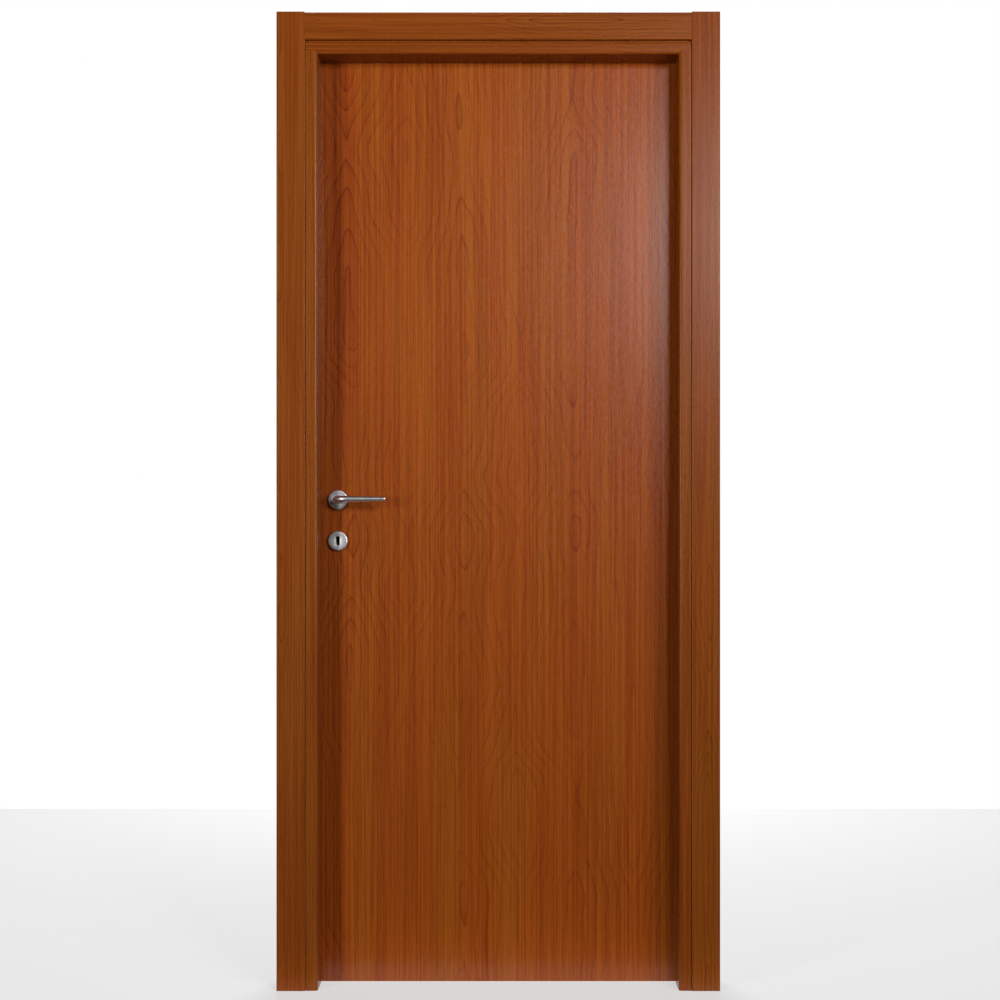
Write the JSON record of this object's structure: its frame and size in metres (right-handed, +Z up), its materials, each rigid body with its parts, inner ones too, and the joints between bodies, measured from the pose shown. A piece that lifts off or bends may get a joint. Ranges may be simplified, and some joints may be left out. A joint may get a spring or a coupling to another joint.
{
  "type": "internal door with lining",
  "caption": "Flush internal door shut in its rebated lining, with flat casings on both sides, lift-off hinges and a lever handle set above a keyhole.",
  "frame": {"origin": "on the outer face of the hinge jamb, at floor level, in the middle of the wall's thickness", "axes": "+Z up, +X out of the hinge jamb's outer face away from the doorway, +Y to the side that the leaf opens to"},
  "size_m": [0.994, 0.1772, 2.1935],
  "materials": {
    "upright_veneer": "satin",
    "head_veneer": "satin",
    "leaf_veneer": "satin",
    "lipping_veneer": "satin",
    "core_wood": "matte",
    "seal_rubber": "matte",
    "lock_metal": "satin",
    "hinge_metal": "satin",
    "handle_metal": "satin",
    "spindle_steel": "satin"
  },
  "bodies": {
    "frame": {"jamb_lock_side": "upright_veneer", "jamb_hinge_side": "upright_veneer", "head_jamb": "head_veneer", "casing_front_left": "upright_veneer", "casing_front_right": "upright_veneer", "casing_front_head": "head_veneer", "casing_back_left": "upright_veneer", "casing_back_right": "upright_veneer", "casing_back_head": "head_veneer", "gasket_lock_side": "seal_rubber", "gasket_hinge_side": "seal_rubber", "gasket_head": "seal_rubber", "strike_plate": "lock_metal", "hinge_frame_low": "hinge_metal", "hinge_frame_mid": "hinge_metal", "hinge_frame_high": "hinge_metal"},
    "leaf": {"lock_stile": "core_wood", "hinge_stile": "core_wood", "top_rail": "core_wood", "bottom_rail": "core_wood", "skin_front": "leaf_veneer", "skin_back": "leaf_veneer", "lipping_lock": "lipping_veneer", "lipping_hinge": "lipping_veneer", "lipping_top": "lipping_veneer", "hinge_leaf_low": "hinge_metal", "hinge_leaf_mid": "hinge_metal", "hinge_leaf_high": "hinge_metal", "lock_case": "lock_metal", "latch_bolt": "lock_metal", "dead_bolt": "lock_metal", "rose_front": "handle_metal", "rose_back": "handle_metal", "key_rose_front": "handle_metal", "key_rose_back": "handle_metal"},
    "lever": {"lever_front": "handle_metal", "lever_back": "handle_metal", "spindle": "spindle_steel"}
  },
  "joints": [
    {"name": "leaf_hinge", "type": "hinge", "parent": "frame", "child": "leaf", "pos_m": [-0.0345, 0.066, 1.05], "axis": [0, 0, -1], "range_deg": [0, 170]},
    {"name": "lever_turn", "type": "hinge", "parent": "leaf", "child": "lever", "pos_m": [-0.815, 0.036, 1.103], "axis": [0, 1, 0], "range_deg": [0, 45], "stiffness_Nm_per_rad": 1.2, "springref_deg": -17.19}
  ]
}
